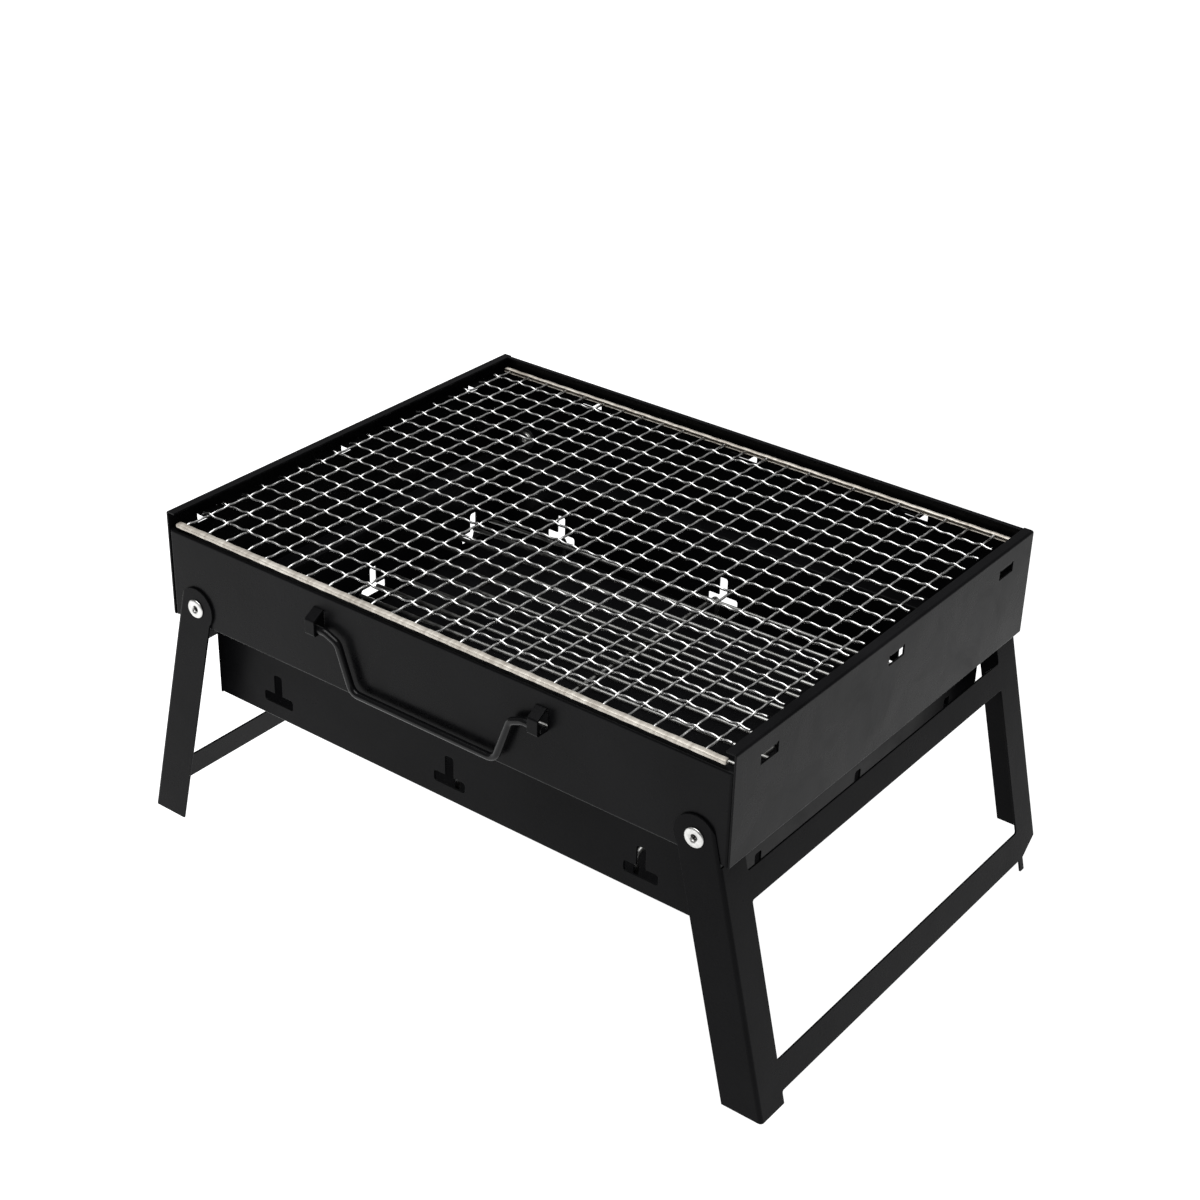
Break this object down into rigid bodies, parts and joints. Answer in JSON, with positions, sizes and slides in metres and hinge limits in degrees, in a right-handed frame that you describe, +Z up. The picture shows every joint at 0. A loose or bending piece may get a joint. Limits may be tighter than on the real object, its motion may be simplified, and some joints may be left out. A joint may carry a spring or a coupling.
{
  "type": "folding camp grill",
  "caption": "Rectangular charcoal grill of black sheet steel on folding leg frames, with a lift-out fire tray, wire grates and a wire carrying handle.",
  "frame": {"origin": "on the ground, under the middle of the object's box", "axes": "+X along the long front to the right, +Y to the back (the handle is on the -Y side), +Z up"},
  "size_m": [0.4048, 0.2764, 0.191],
  "materials": {
    "black_paint": "satin black heat-resistant paint",
    "leg_paint": "satin black heat-resistant paint",
    "tray_paint": "satin black heat-resistant paint",
    "handle_paint": "gloss black paint",
    "rivet_zinc": "bright zinc plate",
    "mesh_wire": "bright plated wire",
    "hem_strip": "bright plated strip",
    "coal_wire": "plain plated wire"
  },
  "bodies": {
    "frame": {"front_wall": "black_paint", "rear_wall": "black_paint", "left_end_wall": "black_paint", "right_end_wall": "black_paint", "handle_loop_left": "black_paint", "handle_loop_right": "black_paint", "pivot_rivets": "rivet_zinc", "pivot_washers": "rivet_zinc"},
    "left_leg": {"left_leg_frame": "leg_paint"},
    "right_leg": {"right_leg_frame": "leg_paint"},
    "handle": {"handle_bail": "handle_paint"},
    "fire_tray": {"tray_shell": "tray_paint", "tray_left_end": "tray_paint", "tray_right_end": "tray_paint"},
    "charcoal_grate": {"charcoal_bars": "coal_wire", "charcoal_foot_wires": "coal_wire"},
    "cooking_grate": {"grate_long_wires": "mesh_wire", "grate_cross_wires": "mesh_wire", "grate_front_hem": "hem_strip", "grate_rear_hem": "hem_strip"}
  },
  "joints": [
    {"name": "left_leg_fold", "type": "hinge", "parent": "frame", "child": "left_leg", "pos_m": [-0.1567, 0.00225, 0.141], "axis": [0, -1, 0], "range_deg": [0, 103]},
    {"name": "right_leg_fold", "type": "hinge", "parent": "frame", "child": "right_leg", "pos_m": [0.1567, 0.00225, 0.141], "axis": [0, -1, 0], "range_deg": [-103, 0]},
    {"name": "tray_lift", "type": "slide", "parent": "frame", "child": "fire_tray", "axis": [0, 0, 1], "range_m": [0, 0.1257]},
    {"name": "grate_lift", "type": "slide", "parent": "fire_tray", "child": "cooking_grate", "axis": [0, 0, 1], "range_m": [0, 0.2]},
    {"name": "charcoal_lift", "type": "slide", "parent": "fire_tray", "child": "charcoal_grate", "axis": [0, 0, 1], "range_m": [0, 0.12]},
    {"name": "handle_swing", "type": "hinge", "parent": "frame", "child": "handle", "pos_m": [0, -0.1351, 0.1635], "axis": [-1, 0, 0], "range_deg": [0, 160]}
  ],
  "couplings": [
    {"joint": "left_leg_fold", "follows": "tray_lift", "rad_per_m": 14.3},
    {"joint": "right_leg_fold", "follows": "tray_lift", "rad_per_m": -14.3},
    {"joint": "charcoal_lift", "follows": "grate_lift", "ratio": 0.6}
  ]
}
